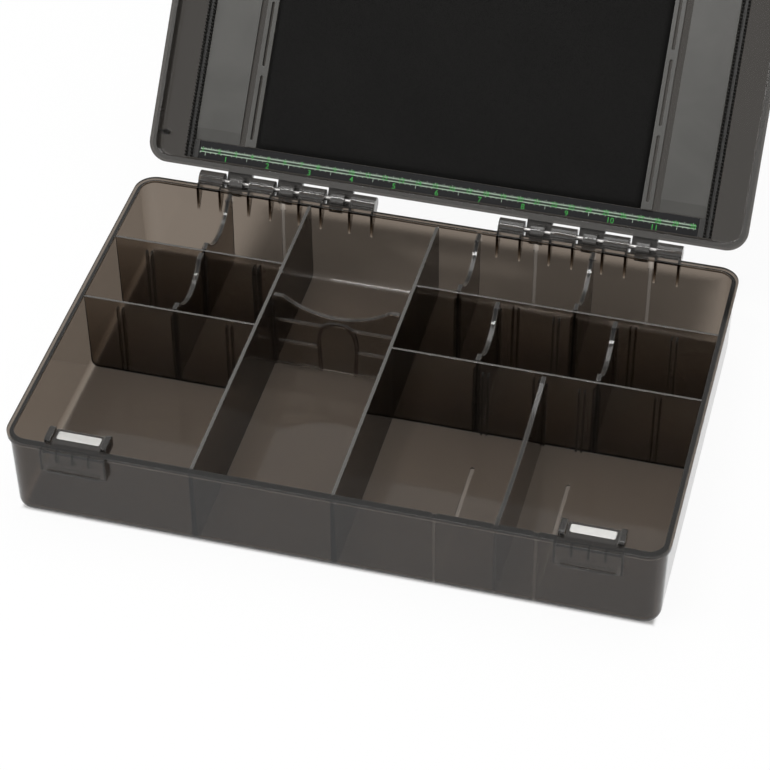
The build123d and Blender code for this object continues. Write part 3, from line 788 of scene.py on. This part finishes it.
def white_room(strength, overhead):
    """The world: plain light from all round, and a background that is white low down and greyer overhead."""
    world = bpy.data.worlds.new("room")
    bpy.context.scene.world = world
    world.use_nodes = True
    tree = world.node_tree
    tree.nodes.clear()
    out = tree.nodes.new("ShaderNodeOutputWorld")
    way = node(tree, "ShaderNodeSeparateXYZ")
    tree.links.new(node(tree, "ShaderNodeTexCoord").outputs["Generated"], way.inputs[0])
    backdrop = mixed(tree, span(tree, way.outputs["Z"], 0.25, 0.6), (1, 1, 1), (overhead, overhead, overhead))
    seen = node(tree, "ShaderNodeBackground", Strength=1.0)
    tree.links.new(backdrop, seen.inputs["Color"])
    light = node(tree, "ShaderNodeBackground", Color=(1, 1, 1, 1), Strength=strength)
    both = node(tree, "ShaderNodeMixShader")
    tree.links.new(looked_at(tree), both.inputs["Fac"])
    tree.links.new(light.outputs[0], both.inputs[1])
    tree.links.new(seen.outputs[0], both.inputs[2])
    tree.links.new(both.outputs[0], out.inputs["Surface"])


def floor_material(colour, glow, under, behind):
    """A pale floor that shows as the background round the box and lies in its shadow under and behind it."""
    material, tree, out = new_material("pale_floor")
    matt = node(tree, "ShaderNodeBsdfDiffuse", Color=(*colour, 1))
    plain = node(tree, "ShaderNodeEmission", Strength=1.0, Color=(1, 1, 1, 1))
    both = node(tree, "ShaderNodeMixShader")
    foot = span(tree, inside(tree, TRAY_FOOT_LOW, TRAY_FOOT_HIGH, FOOT_SOFT), 0, 1, glow, under)
    shade = span(tree, inside(tree, SHADE_LOW, SHADE_HIGH, SHADE_SOFT), 0, 1, glow, behind)
    share = math_node(tree, "MINIMUM", foot, shade)
    tree.links.new(math_node(tree, "MULTIPLY", looked_at(tree), share), both.inputs["Fac"])
    tree.links.new(matt.outputs[0], both.inputs[1])
    tree.links.new(plain.outputs[0], both.inputs[2])
    tree.links.new(both.outputs[0], out.inputs["Surface"])
    return material


def add_lamp(name, place, aim, width, height, power):
    """A soft flat lamp."""
    data = bpy.data.lights.new(name, "AREA")
    data.energy = power
    data.shape = "RECTANGLE"
    data.size = width
    data.size_y = height
    lamp = bpy.data.objects.new(name, data)
    lamp.location = place
    lamp.rotation_euler = (Vector(aim) - Vector(place)).to_track_quat("-Z", "Y").to_euler()
    bpy.context.scene.collection.objects.link(lamp)


class SetStage(bpy.types.Operator):
    """Add the floor, the lamps, the white room and the camera"""

    bl_idname = "tackle_box.set_stage"
    bl_label = "Stage"

    def execute(self, context):
        scene = context.scene
        look = scene.box_stage
        mesh = bpy.data.meshes.new("floor")
        half = FLOOR_HALF
        below = TRAY_LOW.z - FLOOR_GAP
        corners = [(-half, -half, below), (half, -half, below), (half, half, below), (-half, half, below)]
        mesh.from_pydata(corners, [], [(0, 1, 2, 3)])
        floor = bpy.data.objects.new("floor", mesh)
        mesh.materials.append(floor_material(look.floor, look.glow, look.under, look.behind))
        scene.collection.objects.link(floor)
        white_room(look.room, look.overhead)
        add_lamp("top_lamp", (0.1, 0.25, 1.5), (0, 0.05, 0), 1.1, 1.1, look.key)
        add_lamp("side_lamp", (-1.3, -0.5, 0.9), (0, 0, 0.05), 0.9, 0.9, look.side)
        add_lamp("front_lamp", (-0.22, -0.43, 1.2), (0, 0.05, 0.05), 0.5, 0.2, look.front)
        data = bpy.data.cameras.new("camera")
        data.sensor_width = 36
        data.lens = CAMERA_LENS
        data.clip_start = 0.05
        data.clip_end = 50
        camera = bpy.data.objects.new("camera", data)
        camera.matrix_world = Matrix.Translation(CAMERA_PLACE) @ camera_turn()
        scene.collection.objects.link(camera)
        scene.camera = camera
        scene.view_settings.view_transform = "Standard"
        return {"FINISHED"}


class TackleBoxPanel(bpy.types.Panel):
    """Lists the steps that dress the tackle box"""

    bl_idname = "VIEW3D_PT_tackle_box"
    bl_label = "Tackle box"
    bl_space_type = "VIEW_3D"
    bl_region_type = "UI"
    bl_category = "Tackle box"

    def draw(self, context):
        for step in STEPS:
            self.layout.operator(step.bl_idname)
        for group in LOOKS:
            box = self.layout.box()
            for name in LOOKS[group].__annotations__:
                box.prop(getattr(context.scene, group), name)


LOOKS = {
    "box_plastic": PlasticLook,
    "box_fittings": FittingLook,
    "box_metal": MetalLook,
    "box_stage": StageLook,
}
STEPS = [SetStage, DressPlastic, DressMetal, DressLidFittings, AddRulerMarks, AddFoam]


def register():
    for kind in [*LOOKS.values(), *STEPS, TackleBoxPanel]:
        bpy.utils.register_class(kind)
    for group, kind in LOOKS.items():
        setattr(bpy.types.Scene, group, PointerProperty(type=kind))


def unregister():
    for group in LOOKS:
        delattr(bpy.types.Scene, group)
    for kind in reversed([*LOOKS.values(), *STEPS, TackleBoxPanel]):
        bpy.utils.unregister_class(kind)


def main():
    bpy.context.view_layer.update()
    register()
    bpy.ops.tackle_box.set_stage()
    bpy.ops.tackle_box.dress_plastic()
    bpy.ops.tackle_box.dress_metal()
    bpy.ops.tackle_box.dress_fittings()
    bpy.ops.tackle_box.add_ruler_marks()
    bpy.ops.tackle_box.add_foam()


if __name__ == "__main__":
    main()
